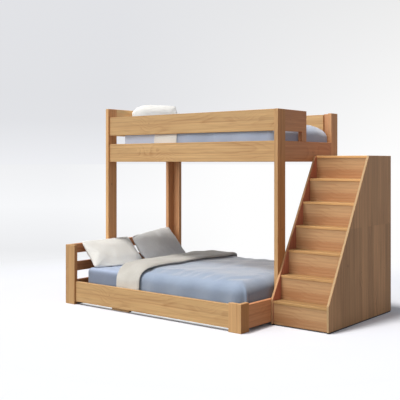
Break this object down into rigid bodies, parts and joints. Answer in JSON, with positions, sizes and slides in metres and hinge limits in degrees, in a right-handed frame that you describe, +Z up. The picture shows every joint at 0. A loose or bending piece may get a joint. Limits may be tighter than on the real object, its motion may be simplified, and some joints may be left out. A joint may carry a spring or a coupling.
{
  "type": "bunk bed",
  "caption": "Wooden bunk bed with a single bed carried over a wider bed, guard boards, a closed stair unit at the foot end, and bedding on both levels",
  "frame": {"origin": "on the floor, under the centre of the whole piece including the stairs", "axes": "+X from the head of the bed to the stairs, +Y from the open front to the wall side, +Z up"},
  "size_m": [2.51, 1.51, 1.9057],
  "materials": {
    "pine": "oiled or lacquered pine, satin",
    "slat_wood": "plain planed pine",
    "glide_plastic": "dark matt strip",
    "sheet": "pale blue-grey cotton",
    "duvet": "pale blue-grey cotton, quilted filling",
    "white_cotton": "warm white cotton",
    "grey_cotton": "mid grey cotton"
  },
  "bodies": {
    "root": {"back_post_foot": "pine", "back_post_head": "pine", "centre_beam": "pine", "centre_leg": "pine", "foot_rail_back": "pine", "foot_rail_front": "pine", "glide_bed_side": "glide_plastic", "glide_open_side": "glide_plastic", "guard_back": "pine", "guard_foot": "pine", "guard_foot_block": "pine", "guard_front": "pine", "head_rail_back": "pine", "head_rail_front": "pine", "head_slat_1_back": "pine", "head_slat_1_front": "pine", "head_slat_2_back": "pine", "head_slat_2_front": "pine", "headboard": "pine", "lower_duvet": "duvet", "lower_ledger_back": "pine", "lower_ledger_front": "pine", "lower_mattress": "sheet", "lower_pillow_grey": "grey_cotton", "lower_pillow_white": "white_cotton", "lower_post_foot": "pine", "lower_post_head": "pine", "lower_rail_back": "pine", "lower_rail_front": "pine", "lower_slat_base": "slat_wood", "middle_foot": "pine", "riser_1": "pine", "riser_2": "pine", "riser_3": "pine", "riser_4": "pine", "riser_5": "pine", "riser_6": "pine", "riser_7": "pine", "stair_back_panel": "pine", "stair_side_bed": "pine", "stair_side_open": "pine", "tread_1": "pine", "tread_2": "pine", "tread_3": "pine", "tread_4": "pine", "tread_5": "pine", "tread_6": "pine", "tread_7": "pine", "upper_duvet": "duvet", "upper_ledger_back": "pine", "upper_ledger_front": "pine", "upper_mattress": "sheet", "upper_pillow": "white_cotton", "upper_post_foot": "pine", "upper_post_head": "pine", "upper_rail_back": "pine", "upper_rail_foot": "pine", "upper_rail_front": "pine", "upper_rail_head": "pine", "upper_slat_base": "slat_wood"}
  },
  "joints": []
}
